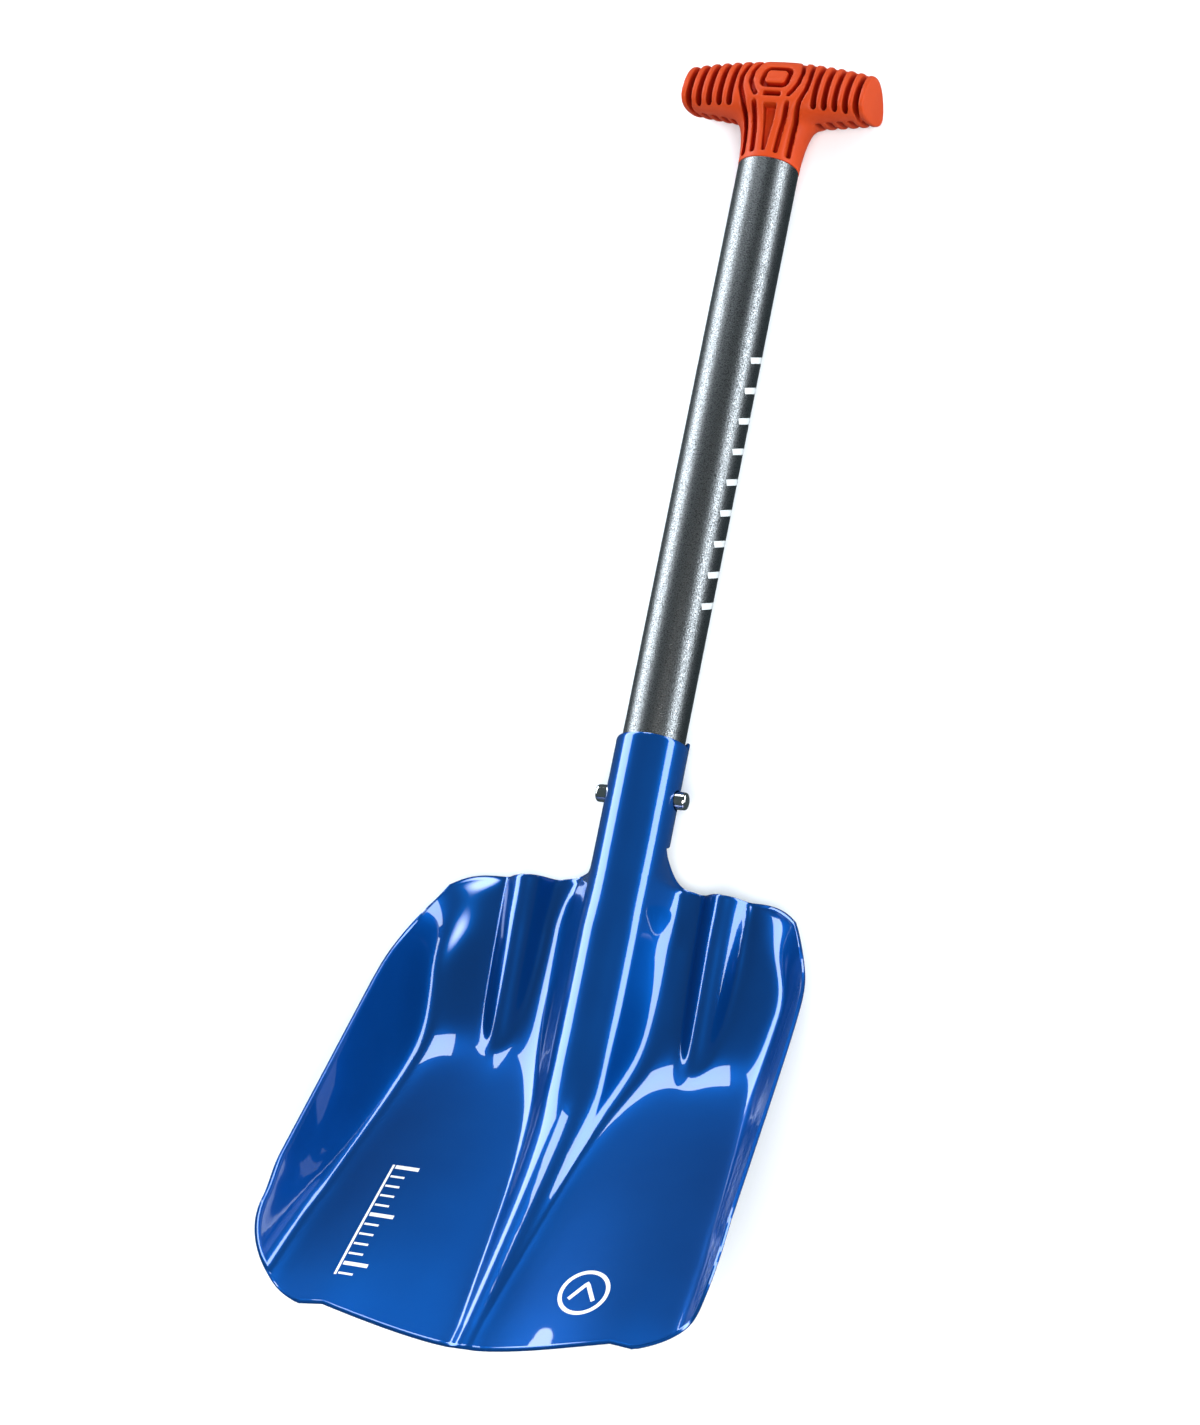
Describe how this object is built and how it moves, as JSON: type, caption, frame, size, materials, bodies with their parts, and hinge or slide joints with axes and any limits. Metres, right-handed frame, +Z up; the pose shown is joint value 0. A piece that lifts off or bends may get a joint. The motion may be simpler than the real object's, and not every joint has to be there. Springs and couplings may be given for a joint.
{
  "type": "avalanche shovel",
  "caption": "Compact snow shovel: deep pressed blade with a formed socket and ridge, round shaft locked by sprung buttons, ribbed T-grip.",
  "frame": {"origin": "bottom centre of the shovel's box as it lies on its back", "axes": "+Z up, out of the blade's open side; +Y along the shaft towards the grip; +X across"},
  "size_m": [0.2144, 0.675, 0.1193],
  "materials": {
    "blade_lacquer": "glossy deep blue lacquer",
    "shaft_finish": "graphite grey metallic, fine grain",
    "black_plastic": "matt black",
    "orange_plastic": "satin orange, moulded",
    "bright_steel": "polished",
    "spring_steel": "brushed"
  },
  "bodies": {
    "blade": {"blade": "blade_lacquer"},
    "shaft": {"shaft_tube": "shaft_finish", "shaft_end_plug": "black_plastic", "grip": "orange_plastic", "grip_rivet": "bright_steel", "button_spring": "spring_steel"},
    "left_button": {"snap_button_left": "bright_steel"},
    "right_button": {"snap_button_right": "bright_steel"}
  },
  "joints": [
    {"name": "shaft_slide", "type": "slide", "parent": "blade", "child": "shaft", "axis": [0, 1, 0], "range_m": [0, 0.2]},
    {"name": "left_button_press", "type": "slide", "parent": "shaft", "child": "left_button", "axis": [1, 0, 0], "range_m": [0, 0.0078], "stiffness_N_per_m": 700, "springref_m": -0.002, "deforming": ["button_spring"]},
    {"name": "right_button_press", "type": "slide", "parent": "shaft", "child": "right_button", "axis": [-1, 0, 0], "range_m": [0, 0.0078], "stiffness_N_per_m": 700, "springref_m": -0.002}
  ]
}
